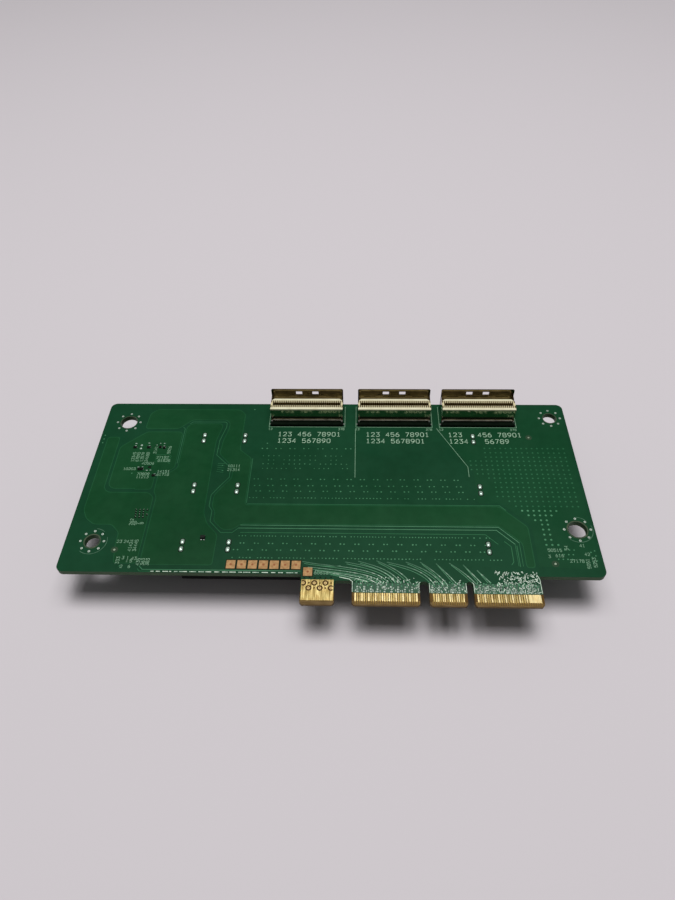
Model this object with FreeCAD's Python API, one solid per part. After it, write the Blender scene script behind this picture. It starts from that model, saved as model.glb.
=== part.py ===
import FreeCAD, Part
import os

# Expansion card with three full-length card slots on its underside, three upright
# cable connectors along its back edge and a gold edge connector along its front.
# Millimetres. +X runs along the card, +Y towards the cable connectors, +Z up.
# The card lies on the mouths of its slots, and the origin is under its middle.

# ---------------------------------------------------------------- the bare board
board_length = 150.0
board_depth = 73.8              # gold tip to back edge
board_thickness = 1.57
board_corner_radius = 2.0

tongue_length = 8.9             # how far the edge connector stands out of the front edge
notch_length = 7.05             # tip to the root between two parts of the edge connector
tip_corner_crop = 0.6
root_corner_radius = 0.8
bevel_length = 0.9              # the tip is bevelled on both faces
bevel_depth = 0.45

power_tab_left = -7.15
power_tab_width = 9.05

# ---------------------------------------------------------------- gold edge contacts
finger_pitch = 0.6
finger_width = 0.4
finger_length = 2.35
finger_setback = 0.15           # from the bevel to the gold
pad_thickness = 0.05            # plated gold and bare copper alike
joined_fingers = 6              # the last ones of the last part are one block
section_lefts = (6.65, 27.2, 38.95)
section_fingers = (28, 14, 28)
section_margins = (0.9, 1.05, 0.9)      # from either end to the nearest finger's centre
power_pad_length = 6.2
power_pad_margin = 0.2

# ---------------------------------------------------------------- mounting holes
large_hole_radius = 2.6
small_hole_radius = 2.05
# from the nearest end of the board, and from its nearest long edge
large_hole_left = (7.7, 8.7)            # back
large_hole_right = (4.9, 15.3)          # front
small_hole_left = (7.85, 9.85)          # front
small_hole_right = (4.95, 6.2)          # back

# ---------------------------------------------------------------- card slots
slot_count = 3
slot_spacing = 20.32
slot_back_offset = 15.48        # back edge of the board to the first row
slot_key_x = -28.2              # middle of the key, from the middle of the board
slot_height = 11.25             # board to mouth
slot_width = 7.5
slot_end_before = 3.15          # end of the housing to the first contact
slot_end_after = 2.85
slot_mouth_chamfer_y = 0.55
slot_mouth_chamfer_z = 1.2
slot_standoff = 0.3             # the housing stands off the board on feet
slot_foot_length = 1.6
channel_width = 1.8             # a card of 1.57 and its clearance
channel_depth = 8.9
channel_end_gap = 1.15          # past the first and last contact
lead_in_width = 3.0
lead_in_depth = 0.8
key_wall = 1.7
contact_pitch = 1.0
contacts_before_key = 11
contacts_after_key = 71
key_to_contact = 1.5            # middle of the key to the contact on either side
contact_width = 0.5
contact_bow = 0.12              # how far each tip stands into the channel
contact_tip_z = 1.9
contact_root_y = (1.25, 2.1)    # from the middle of the slot, at the board
trench_outer_y = 2.3
trench_floor_z = 1.3

lock_before_first = 1.65        # board locks, from the first and last contact
lock_after_last = 1.15
lock_thickness = 0.3
lock_width = 3.4
lock_depth = 1.7                # how deep a lock is buried in the housing
lock_leg_width = 1.2
lock_leg_offset = 1.22
lock_clearance = 0.05
lock_hole_clearance = 0.15
solder_length = 1.8             # mound of solder over a leg, along Y
solder_width = 1.1
solder_height = 0.4
solder_slope = 0.3              # how far the mound draws in to its top
solder_corner = 0.3

# ---------------------------------------------------------------- cable connectors
cable_centres = (-8.6, 19.6, 46.5)
cable_front_offset = 8.3        # back edge of the board to the front of the flange
cable_pitch = 0.6
cable_positions = 37            # contacts in each of the two rows
cable_flange_width = 23.2
cable_flange_depth = 4.8
cable_flange_thickness = 0.5
cable_top = 6.0                 # above the board
cable_corner_cut = 1.0
cable_mouth_offset = 2.47       # front of the flange to the middle of the mouth
cable_mouth_width = 1.2
cable_mouth_depth = 5.0
cable_groove_reach = 1.5        # middle of the mouth to the bottom of a groove
cable_groove_width = 0.34
cable_contact_width = 0.22
cable_contact_root = 0.7        # each leaf tapers from its root to an edge
cable_contact_lean = 0.2        # from the bottom of the groove to the edge
cable_contact_gap = 0.45        # the contacts start below the top face
latch_gap = 1.85                # between the flange and the shell's rear wall
latch_floor = 3.6               # bottom of that gap, above the board
shell_thickness = 0.25
shell_clearance = 0.05
shell_side_height = 5.95        # beside the latch gap
shell_rear_height = 8.4
shell_rear_width = 23.36
shell_rear_crop = 0.35          # corners of the rear wall
shell_lift = 0.15
shell_lip_depth = 0.35          # turned out along the foot of the front wall
shell_lip_thickness = 0.15
window_width = 2.0
window_height = 1.35
window_offset = 2.66
window_bottom = 6.1
rib_height = 0.25
rib_depth = 0.12
rib_bottom = 5.1
rib_spans = ((-9.8, -6.0), (-3.6, 3.6), (6.0, 9.8))
dimple_offset = 4.85
dimple_size = 0.7
dimple_depth = 0.1
base_height = 1.0
base_width = 23.6
base_depth = 1.9
base_chamfer = 0.25
tab_offset = 11.33              # middle of the connector to the middle of a tab
tab_thickness = 0.45
tab_length = 0.5
tab_height = 1.7
tab_setback = 0.95              # front of the shell to the middle of a tab
tab_foot = 0.65
tab_foot_thickness = 0.2
tab_clearance = 0.05

# ---------------------------------------------------------------- small parts
copper_pad_width = 2.45
copper_pad_length = 2.6
copper_pad_pitch = 3.0
copper_pad_first_x = -26.72     # middle of the first pad
copper_pad_count = 7
copper_pad_inset = 2.8          # front edge of the board to the middle of the pads
copper_pad_last_x = -5.4        # the odd pad behind the power tab
copper_pad_last_inset = 0.75
chip_length = 1.0
chip_width = 0.5
chip_height = 0.35
# middle of each chip part, by the way its length lies
chips_along_x = ((-62.9, 17.9), (-58.6, 17.9), (-59.4, 8.55), (-54.7, 6.6))
chips_along_y = ((-54.7, 17.5), (-53.5, 17.5))
regulator_x = -35.75
regulator_y = -16.65
regulator_length = 1.3
regulator_width = 0.9
regulator_height = 0.75
regulator_lead_width = 0.3
regulator_lead_reach = 0.4
regulator_lead_thickness = 0.15
regulator_lead_spacing = 0.8

# ---------------------------------------------------------------- worked-out places
half_length = board_length / 2
finger_sections = list(zip(section_lefts, section_fingers, section_margins))
tip_y = -board_depth / 2
back_y = board_depth / 2
front_y = tip_y + tongue_length
root_y = tip_y + notch_length
board_bottom = slot_height
board_top = slot_height + board_thickness
slot_rows = [back_y - slot_back_offset - slot_spacing * n for n in range(slot_count)]
first_contact_x = slot_key_x - key_to_contact - contact_pitch * (contacts_before_key - 1)
last_contact_x = slot_key_x + key_to_contact + contact_pitch * (contacts_after_key - 1)
lock_xs = (first_contact_x - lock_before_first, slot_key_x, last_contact_x + lock_after_last)
cable_front_y = back_y - cable_front_offset
mouth_y = cable_front_y + cable_mouth_offset
shell_inner_back_y = cable_front_y + cable_flange_depth + latch_gap
overshoot = 1.0                 # how far a cutting tool runs past what it cuts


def box(x, y, z):
    """A block between two values on each axis."""
    size = (x[1] - x[0], y[1] - y[0], z[1] - z[0])
    return Part.makeBox(*size, FreeCAD.Vector(x[0], y[0], z[0]))


def prism_x(outline, x):
    """An outline of (y, z) points drawn out along X."""
    points = [FreeCAD.Vector(x[0], y, z) for y, z in outline]
    face = Part.Face(Part.makePolygon(points + points[:1]))
    return face.extrude(FreeCAD.Vector(x[1] - x[0], 0, 0))


def prism_y(outline, y):
    """An outline of (x, z) points drawn out along Y."""
    points = [FreeCAD.Vector(x, y[0], z) for x, z in outline]
    face = Part.Face(Part.makePolygon(points + points[:1]))
    return face.extrude(FreeCAD.Vector(0, y[1] - y[0], 0))


def prism_z(outline, z):
    """An outline of (x, y) points drawn out along Z."""
    points = [FreeCAD.Vector(x, y, z[0]) for x, y in outline]
    face = Part.Face(Part.makePolygon(points + points[:1]))
    return face.extrude(FreeCAD.Vector(0, 0, z[1] - z[0]))


def cylinder(x, y, z, radius):
    """An upright round bar."""
    return Part.makeCylinder(radius, z[1] - z[0], FreeCAD.Vector(x, y, z[0]))


def upright_edges(shape, places):
    """The upright edges of a plate that stand at the given (x, y) places."""
    chosen = []
    for edge in shape.Edges:
        low, high = edge.BoundBox.ZMin, edge.BoundBox.ZMax
        middle = edge.BoundBox.Center
        upright = high - low > 0.9 * shape.BoundBox.ZLength
        if upright and any(abs(middle.x - x) + abs(middle.y - y) < 0.01 for x, y in places):
            chosen.append(edge)
    return chosen


def save(node, solids):
    """Write one node; small pieces that are alike share it as separate solids."""
    shape = solids[0] if len(solids) == 1 else Part.makeCompound(solids)
    shape.exportStep("parts/" + node + ".step")


# ---------------------------------------------------------------- board and its plating
def section_width(section):
    left, count, margin = section
    return (count - 1) * finger_pitch + 2 * margin


def mounting_holes():
    """Middle and radius of each mounting hole."""
    return [
        (-half_length + large_hole_left[0], back_y - large_hole_left[1], large_hole_radius),
        (half_length - large_hole_right[0], front_y + large_hole_right[1], large_hole_radius),
        (-half_length + small_hole_left[0], front_y + small_hole_left[1], small_hole_radius),
        (half_length - small_hole_right[0], back_y - small_hole_right[1], small_hole_radius),
    ]


def lock_leg_places():
    """Middle of every board-lock leg."""
    return [place for row in slot_rows for place in row_leg_places(row)]


def row_leg_places(row):
    return [(x, row + side * lock_leg_offset) for x in lock_xs for side in (-1, 1)]


def circuit_board():
    z = (board_bottom, board_top)
    corners = [(sx * half_length, y) for sx in (-1, 1) for y in (front_y, back_y)]
    plate = box((-half_length, half_length), (front_y, back_y), z)
    plate = plate.makeFillet(board_corner_radius, upright_edges(plate, corners))

    # the tongue is one block, from which the gap and the two key notches are cut
    tongue_right = finger_sections[-1][0] + section_width(finger_sections[-1])
    tongue = box((power_tab_left, tongue_right), (tip_y, front_y), z)
    power_tab_right = power_tab_left + power_tab_width
    gap = (power_tab_right, finger_sections[0][0])
    opening = box(gap, (tip_y - overshoot, root_y), z)
    roots = upright_edges(opening, [(x, root_y) for x in gap])
    opening = opening.makeFillet(root_corner_radius, roots)
    tongue = tongue.cut(opening)
    tips = [power_tab_left, power_tab_right]
    for before, after in zip(finger_sections[:-1], finger_sections[1:]):
        notch = (before[0] + section_width(before), after[0])
        radius = (notch[1] - notch[0]) / 2
        tongue = tongue.cut(box(notch, (tip_y - overshoot, root_y - radius), z))
        tongue = tongue.cut(cylinder(notch[0] + radius, root_y - radius, z, radius))
    for section in finger_sections:
        tips += [section[0], section[0] + section_width(section)]
    corners = upright_edges(tongue, [(x, tip_y) for x in tips])
    tongue = tongue.makeChamfer(tip_corner_crop, corners)
    board = plate.fuse(tongue).removeSplitter()

    # the bevel that lets the tip into its socket
    x = (-half_length, half_length)
    for face_z, inward in ((board_top, -1), (board_bottom, 1)):
        step = inward * bevel_depth
        wedge = [
            (tip_y + bevel_length, face_z), (tip_y, face_z + step),
            (tip_y - overshoot, face_z + step), (tip_y - overshoot, face_z - inward * overshoot),
            (tip_y + bevel_length, face_z - inward * overshoot),
        ]
        board = board.cut(prism_x(wedge, x))

    for hole_x, hole_y, radius in mounting_holes():
        board = board.cut(cylinder(hole_x, hole_y, z, radius))
    half_x = lock_thickness / 2 + lock_hole_clearance
    half_y = lock_leg_width / 2 + lock_hole_clearance
    lock_holes = [
        box((x - half_x, x + half_x), (y - half_y, y + half_y), z) for x, y in lock_leg_places()
    ]
    return board.cut(Part.makeCompound(lock_holes))


def edge_contacts(z):
    """The gold fingers on one face of the tongue."""
    near = tip_y + bevel_length + finger_setback
    y = (near, near + finger_length)
    fingers = []
    for section in finger_sections:
        left, count, margin = section
        single = count - joined_fingers if section is finger_sections[-1] else count
        for n in range(single):
            middle = left + margin + n * finger_pitch
            fingers.append(box((middle - finger_width / 2, middle + finger_width / 2), y, z))
        if single < count:
            start = left + margin + single * finger_pitch - finger_width / 2
            end = left + margin + (count - 1) * finger_pitch + finger_width / 2
            fingers.append(box((start, end), y, z))
    return fingers


def power_pad(z):
    """The gold face of the power tab."""
    near = tip_y + bevel_length + finger_setback
    x = (power_tab_left + power_pad_margin, power_tab_left + power_tab_width - power_pad_margin)
    return [box(x, (near, near + power_pad_length), z)]


def copper_pads():
    """A row of bare copper pads near the front edge, and an odd one beside the tab."""
    centres = [(copper_pad_first_x + n * copper_pad_pitch, front_y + copper_pad_inset)
               for n in range(copper_pad_count)]
    centres.append((copper_pad_last_x, front_y + copper_pad_last_inset))
    z = (board_top, board_top + pad_thickness)
    return [box((x - copper_pad_width / 2, x + copper_pad_width / 2),
                (y - copper_pad_length / 2, y + copper_pad_length / 2), z) for x, y in centres]


# ---------------------------------------------------------------- card slots
def contact_groups():
    """First and last contact of the two groups, either side of the key."""
    before = (first_contact_x, slot_key_x - key_to_contact)
    after = (slot_key_x + key_to_contact, last_contact_x)
    return before, after


def channel_spans():
    """Where the mouth is open along the slot: all but the key wall."""
    return (
        (first_contact_x - channel_end_gap, slot_key_x - key_wall / 2),
        (slot_key_x + key_wall / 2, last_contact_x + channel_end_gap),
    )


def slot_housing(row):
    half = slot_width / 2
    x = (first_contact_x - slot_end_before, last_contact_x + slot_end_after)
    top = board_bottom - slot_standoff
    section = [
        (row - half + slot_mouth_chamfer_y, 0), (row + half - slot_mouth_chamfer_y, 0),
        (row + half, slot_mouth_chamfer_z), (row + half, top),
        (row - half, top), (row - half, slot_mouth_chamfer_z),
    ]
    housing = prism_x(section, x)
    for span in channel_spans():
        mouth = [
            (row - lead_in_width / 2, -overshoot), (row + lead_in_width / 2, -overshoot),
            (row + lead_in_width / 2, 0), (row + channel_width / 2, lead_in_depth),
            (row + channel_width / 2, channel_depth), (row - channel_width / 2, channel_depth),
            (row - channel_width / 2, lead_in_depth), (row - lead_in_width / 2, 0),
        ]
        housing = housing.cut(prism_x(mouth, span))
    # each group of contacts stands in a trench that is open to the channel
    for first, last in contact_groups():
        span = (first - contact_pitch / 2, last + contact_pitch / 2)
        for side in (-1, 1):
            y = sorted((row + side * channel_width / 2, row + side * trench_outer_y))
            housing = housing.cut(box(span, y, (trench_floor_z, top + overshoot)))
    # feet carry the housing on the board, with a pocket for each board lock
    ends = (x[0], x[1] - slot_foot_length)
    feet = [box((start, start + slot_foot_length), (row - half, row + half), (top, board_bottom))
            for start in ends]
    feet.append(box((slot_key_x - key_wall / 2, slot_key_x + key_wall / 2),
                    (row - half, row + half), (top, board_bottom)))
    housing = housing.fuse(feet).removeSplitter()
    pocket_half = lock_thickness / 2 + lock_clearance
    for lock_x in lock_xs:
        y = (row - lock_width / 2 - lock_clearance, row + lock_width / 2 + lock_clearance)
        housing = housing.cut(box((lock_x - pocket_half, lock_x + pocket_half), y,
                                  (board_bottom - lock_depth, board_bottom + overshoot)))
    return [housing]


def slot_contacts(row, side):
    """One row of leaf springs, which taper from the board to a tip that leans into the channel."""
    tip = channel_width / 2 - contact_bow
    profile = [
        (row + side * tip, contact_tip_z),
        (row + side * contact_root_y[0], board_bottom),
        (row + side * contact_root_y[1], board_bottom),
    ]
    contacts = []
    for first, last in contact_groups():
        count = int(round((last - first) / contact_pitch)) + 1
        for n in range(count):
            middle = first + n * contact_pitch
            contacts.append(prism_x(profile, (middle - contact_width / 2, middle + contact_width / 2)))
    return contacts


def board_locks(row):
    """Metal forks in the housing whose legs pass through the board."""
    locks = []
    for lock_x in lock_xs:
        x = (lock_x - lock_thickness / 2, lock_x + lock_thickness / 2)
        y = (row - lock_width / 2, row + lock_width / 2)
        fork = box(x, y, (board_bottom - lock_depth, board_bottom))
        for side in (-1, 1):
            leg = row + side * lock_leg_offset
            leg_y = (leg - lock_leg_width / 2, leg + lock_leg_width / 2)
            fork = fork.fuse(box(x, leg_y, (board_bottom, board_top)))
        locks.append(fork.removeSplitter())
    return locks


def cropped_ring(x, y, z, half_x, half_y, corner):
    """A closed rectangular wire with cropped corners, level at z."""
    outline = [
        (x - half_x + corner, y - half_y), (x + half_x - corner, y - half_y),
        (x + half_x, y - half_y + corner), (x + half_x, y + half_y - corner),
        (x + half_x - corner, y + half_y), (x - half_x + corner, y + half_y),
        (x - half_x, y + half_y - corner), (x - half_x, y - half_y + corner),
    ]
    points = [FreeCAD.Vector(px, py, z) for px, py in outline]
    return Part.makePolygon(points + points[:1])


def solder_joints(row):
    """A sloped mound of solder over each leg of a board lock."""
    mounds = []
    half_x, half_y = solder_width / 2, solder_length / 2
    for x, y in row_leg_places(row):
        foot = cropped_ring(x, y, board_top, half_x, half_y, solder_corner)
        crown = cropped_ring(x, y, board_top + solder_height, half_x - solder_slope,
                             half_y - solder_slope, solder_corner / 2)
        mounds.append(Part.makeLoft([foot, crown], True, True))
    return mounds


# ---------------------------------------------------------------- cable connectors
def cable_housing(centre):
    """Moulded insulator: a stepped body in the shell and a flange on top, with a comb mouth."""
    half = cable_flange_width / 2
    front, back = cable_front_y, cable_front_y + cable_flange_depth
    top = board_top + cable_top
    flange_z = (top - cable_flange_thickness, top)
    cut = cable_corner_cut
    flange = prism_z([
        (centre - half, front), (centre + half, front), (centre + half, back - cut),
        (centre + half - cut, back), (centre - half + cut, back), (centre - half, back - cut),
    ], flange_z)
    wall = shell_thickness + shell_clearance
    step_back = shell_inner_back_y - shell_clearance
    body_front = front + wall
    body = prism_x([
        (body_front, board_top), (step_back, board_top), (step_back, board_top + latch_floor),
        (back, board_top + latch_floor), (back, flange_z[0]), (body_front, flange_z[0]),
    ], (centre - half + wall, centre + half - wall))
    housing = flange.fuse(body).removeSplitter()

    # mouth and contact grooves are one comb-shaped outline
    slot = cable_mouth_width / 2
    groove = cable_groove_width / 2
    first = centre - cable_pitch * (cable_positions - 1) / 2
    middles = [first + n * cable_pitch for n in range(cable_positions)]
    front_side, back_side = [], []
    for x in middles:
        for side, points in ((-1, front_side), (1, back_side)):
            shallow = mouth_y + side * slot
            deep = mouth_y + side * cable_groove_reach
            points += [(x - groove, shallow), (x - groove, deep),
                       (x + groove, deep), (x + groove, shallow)]
    comb = prism_z(front_side + back_side[::-1], (top - cable_mouth_depth, top + overshoot))
    return [housing.cut(comb)]


def cable_contacts(centre, side):
    """One row of leaf contacts, each in the bottom of its groove."""
    top = board_top + cable_top
    far = mouth_y + side * cable_groove_reach
    profile = [
        (far, top - cable_mouth_depth),
        (far - side * cable_contact_root, top - cable_mouth_depth),
        (far - side * cable_contact_lean, top - cable_contact_gap),
    ]
    first = centre - cable_pitch * (cable_positions - 1) / 2
    half = cable_contact_width / 2
    middles = [first + n * cable_pitch for n in range(cable_positions)]
    return [prism_x(profile, (x - half, x + half)) for x in middles]


def cable_shell(centre):
    """Folded sheet round the housing, whose rear wall stands up behind the mouth."""
    half = cable_flange_width / 2
    front, inner_back = cable_front_y, shell_inner_back_y
    outer_back = inner_back + shell_thickness
    flange_back = cable_front_y + cable_flange_depth
    low = board_top + shell_lift
    under_flange = board_top + cable_top - cable_flange_thickness
    side_top = board_top + shell_side_height
    side_outline = [
        (front, low), (outer_back, low), (outer_back, side_top),
        (flange_back + shell_clearance, side_top), (flange_back + shell_clearance, under_flange),
        (front, under_flange),
    ]
    ring = prism_x(side_outline, (centre - half, centre + half))
    inside = (centre - half + shell_thickness, centre + half - shell_thickness)
    ring = ring.cut(box(inside, (front + shell_thickness, inner_back),
                        (board_top, side_top + overshoot)))
    rear_half, rear_top = shell_rear_width / 2, board_top + shell_rear_height
    crop = shell_rear_crop
    wall = prism_y([
        (centre - rear_half, low), (centre + rear_half, low),
        (centre + rear_half, rear_top - crop), (centre + rear_half - crop, rear_top),
        (centre - rear_half + crop, rear_top), (centre - rear_half, rear_top - crop),
    ], (inner_back, outer_back))
    lip_top = board_top + base_height + shell_lip_thickness
    lip = box((centre - half, centre + half), (front - shell_lip_depth, front),
              (board_top + base_height, lip_top))
    shell = ring.fuse([wall, lip]).removeSplitter()
    y = (inner_back - overshoot, outer_back + overshoot)
    window_z = (board_top + window_bottom, board_top + window_bottom + window_height)
    for side in (-1, 1):
        middle = centre + side * window_offset
        x = (middle - window_width / 2, middle + window_width / 2)
        shell = shell.cut(box(x, y, window_z))
        middle = centre + side * dimple_offset
        x = (middle - dimple_size / 2, middle + dimple_size / 2)
        shell = shell.cut(box(x, (inner_back, inner_back + dimple_depth), window_z))
    rib_z = (board_top + rib_bottom, board_top + rib_bottom + rib_height)
    ribs = [box((centre + start, centre + end), (inner_back - rib_depth, inner_back), rib_z)
            for start, end in rib_spans]
    return [shell.fuse(ribs).removeSplitter()]


def cable_base(centre):
    """Black foot along the front of the shell, notched at both ends for the tabs."""
    back = cable_front_y
    front = back - base_depth
    top = board_top + base_height
    outline = [(back, board_top), (back, top), (front + base_chamfer, top),
               (front, top - base_chamfer), (front, board_top)]
    base = prism_x(outline, (centre - base_width / 2, centre + base_width / 2))
    y = tab_span_y(tab_clearance)
    inner = tab_offset - tab_thickness / 2 - tab_clearance
    for side in (-1, 1):
        x = sorted((centre + side * inner, centre + side * (base_width / 2 + overshoot)))
        base = base.cut(box(x, y, (board_top - overshoot, top + overshoot)))
    return [base]


def tab_span_y(margin=0.0):
    """Where a tab lies along Y, with a margin on both sides."""
    middle = cable_front_y - tab_setback
    return (middle - tab_length / 2 - margin, middle + tab_length / 2 + margin)


def cable_hold_downs(centre):
    """Metal tabs at the two ends of the foot, soldered to the board outside it."""
    tabs = []
    y = tab_span_y()
    near, far = tab_offset - tab_thickness / 2, tab_offset + tab_thickness / 2
    for side in (-1, 1):
        x = sorted((centre + side * near, centre + side * far))
        tab = box(x, y, (board_top, board_top + tab_height))
        foot_x = sorted((centre + side * far, centre + side * (far + tab_foot)))
        foot = box(foot_x, y, (board_top, board_top + tab_foot_thickness))
        tabs.append(tab.fuse(foot).removeSplitter())
    return tabs


# ---------------------------------------------------------------- small parts
def chip_parts():
    parts = []
    z = (board_top, board_top + chip_height)
    for places, size_x, size_y in ((chips_along_x, chip_length, chip_width),
                                   (chips_along_y, chip_width, chip_length)):
        parts += [box((x - size_x / 2, x + size_x / 2), (y - size_y / 2, y + size_y / 2), z)
                  for x, y in places]
    return parts


def regulator_body():
    x = (regulator_x - regulator_length / 2, regulator_x + regulator_length / 2)
    y = (regulator_y - regulator_width / 2, regulator_y + regulator_width / 2)
    z = (board_top + regulator_lead_thickness, board_top + regulator_height)
    return [box(x, y, z)]


def regulator_leads():
    """Two flat leads out of each long side, under the body's edge."""
    leads = []
    z = (board_top, board_top + regulator_lead_thickness)
    for side_x in (-1, 1):
        middle = regulator_x + side_x * regulator_lead_spacing / 2
        x = (middle - regulator_lead_width / 2, middle + regulator_lead_width / 2)
        for side_y in (-1, 1):
            edge = regulator_y + side_y * regulator_width / 2
            y = sorted((edge - side_y * regulator_lead_reach / 2,
                        edge + side_y * regulator_lead_reach))
            leads.append(box(x, y, z))
    return leads


os.makedirs("parts", exist_ok=True)
top_plating = (board_top, board_top + pad_thickness)
bottom_plating = (board_bottom - pad_thickness, board_bottom)
save("circuit_board", [circuit_board()])
save("edge_contacts_top", edge_contacts(top_plating))
save("edge_contacts_bottom", edge_contacts(bottom_plating))
save("power_tab_top", power_pad(top_plating))
save("power_tab_bottom", power_pad(bottom_plating))
save("copper_pads", copper_pads())
for number, row in enumerate(slot_rows, start=1):
    name = "slot_%d_" % number
    save(name + "housing", slot_housing(row))
    save(name + "contacts_front", slot_contacts(row, -1))
    save(name + "contacts_rear", slot_contacts(row, 1))
    save(name + "board_locks", board_locks(row))
    save(name + "solder", solder_joints(row))
for number, centre in enumerate(cable_centres, start=1):
    name = "cable_%d_" % number
    save(name + "housing", cable_housing(centre))
    save(name + "contacts_front", cable_contacts(centre, -1))
    save(name + "contacts_rear", cable_contacts(centre, 1))
    save(name + "shell", cable_shell(centre))
    save(name + "base", cable_base(centre))
    save(name + "hold_downs", cable_hold_downs(centre))
save("chip_parts", chip_parts())
save("regulator_body", regulator_body())
save("regulator_leads", regulator_leads())
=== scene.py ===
"""The looks of an expansion card with card slots underneath and cable connectors on top.

Places on the board are in millimetres: x from the middle of the board, y from the middle
of the second card slot, z up from the board's top face. spot() turns them into metres.
"""

import math
import random

import bmesh
import bpy
from mathutils import Matrix, Vector


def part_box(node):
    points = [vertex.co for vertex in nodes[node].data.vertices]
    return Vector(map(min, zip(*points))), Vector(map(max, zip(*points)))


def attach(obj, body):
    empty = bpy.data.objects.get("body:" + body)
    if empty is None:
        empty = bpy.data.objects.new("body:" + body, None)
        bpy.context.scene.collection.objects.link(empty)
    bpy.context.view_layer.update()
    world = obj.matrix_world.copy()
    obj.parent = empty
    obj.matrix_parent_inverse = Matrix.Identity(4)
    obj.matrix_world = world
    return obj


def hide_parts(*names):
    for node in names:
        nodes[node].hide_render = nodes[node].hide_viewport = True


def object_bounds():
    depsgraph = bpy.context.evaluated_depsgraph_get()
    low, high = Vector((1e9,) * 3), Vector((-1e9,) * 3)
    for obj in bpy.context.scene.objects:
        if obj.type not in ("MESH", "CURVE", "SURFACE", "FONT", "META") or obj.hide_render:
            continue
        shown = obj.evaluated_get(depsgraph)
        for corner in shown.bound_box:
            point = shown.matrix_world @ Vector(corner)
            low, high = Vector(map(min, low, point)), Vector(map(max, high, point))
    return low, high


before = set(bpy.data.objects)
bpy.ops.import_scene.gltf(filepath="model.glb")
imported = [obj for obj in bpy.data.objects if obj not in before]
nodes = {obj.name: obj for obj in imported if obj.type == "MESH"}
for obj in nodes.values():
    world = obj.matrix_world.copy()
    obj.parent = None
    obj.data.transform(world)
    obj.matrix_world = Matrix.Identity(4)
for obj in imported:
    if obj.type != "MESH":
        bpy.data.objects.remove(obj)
cad_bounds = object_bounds()

MM = 0.001
board_low, board_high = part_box("circuit_board")
slot_low, slot_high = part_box("slot_2_housing")
origin = Vector(((board_low.x + board_high.x) / 2, (slot_low.y + slot_high.y) / 2, board_high.z))
under = (board_low.z - board_high.z) / MM  # the board's lower face
back_edge = (board_high.y - origin.y) / MM
slot_spacing = (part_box("slot_1_housing")[0].y - slot_low.y) / MM
slot_rows = (slot_spacing, 0.0, -slot_spacing)
slot_names = ("slot_1_", "slot_2_", "slot_3_")  # from the back
cable_names = ("cable_1_", "cable_2_", "cable_3_")  # from the left
finger_pitch = 0.6
half_finger = 0.2
# x, y and radius of each mounting hole, and the radius of the ring of vias round it
mounting_holes = ((-67.3, 27.1, 2.6, 3.75), (70.1, -13.8, 2.6, 3.72),
                  (-67.15, -19.25, 2.05, 3.37), (70.05, 29.6, 2.05, 3.37))
full_turn = 2 * math.pi
weave_turns = full_turn / (0.42 * MM)

# heights over the board's face
plane_top = 0.02
trace_top = 0.035
via_top = 0.045
ink_top = 0.05


def spot(x, y, z=0.0):
    return origin + Vector((x, y, z)) * MM


def local_box(node):
    """A CAD node's box in board millimetres."""
    low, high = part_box(node)
    return (low - origin) / MM, (high - origin) / MM


# ---- materials
def srgb(red, green, blue):
    """A colour given as it looks on a screen, 0 to 255, in linear light."""
    def linear(value):
        share = value / 255
        return share / 12.92 if share <= 0.04045 else ((share + 0.055) / 1.055) ** 2.4
    return (linear(red), linear(green), linear(blue), 1.0)


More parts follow.
